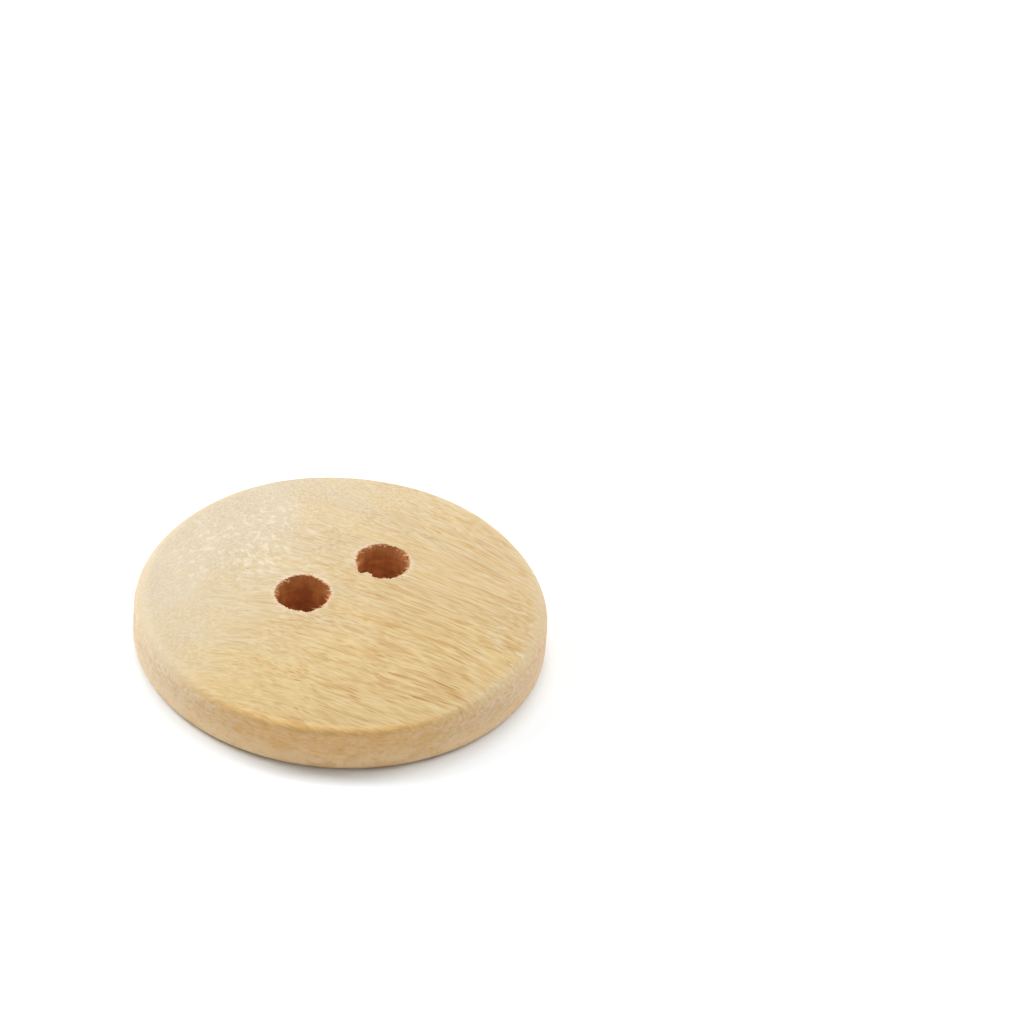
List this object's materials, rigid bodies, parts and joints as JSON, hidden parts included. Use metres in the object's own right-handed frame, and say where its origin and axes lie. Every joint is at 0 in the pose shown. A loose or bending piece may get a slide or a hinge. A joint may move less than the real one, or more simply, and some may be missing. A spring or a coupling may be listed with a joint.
{
  "type": "sew on button",
  "caption": "Round wooden sew-through button with a shallow domed face, softened edges, a flat back and a pair of drilled thread holes.",
  "frame": {"origin": "centre of the flat back, where the button rests", "axes": "+Z out of the domed face, along the axis that the disc was turned on; +X along the line through the two sewing holes"},
  "size_m": [0.02, 0.02, 0.004],
  "materials": {
    "pale_wood": "fine sanded, unvarnished pale hardwood"
  },
  "bodies": {
    "root": {"button_disc": "pale_wood"}
  },
  "joints": []
}
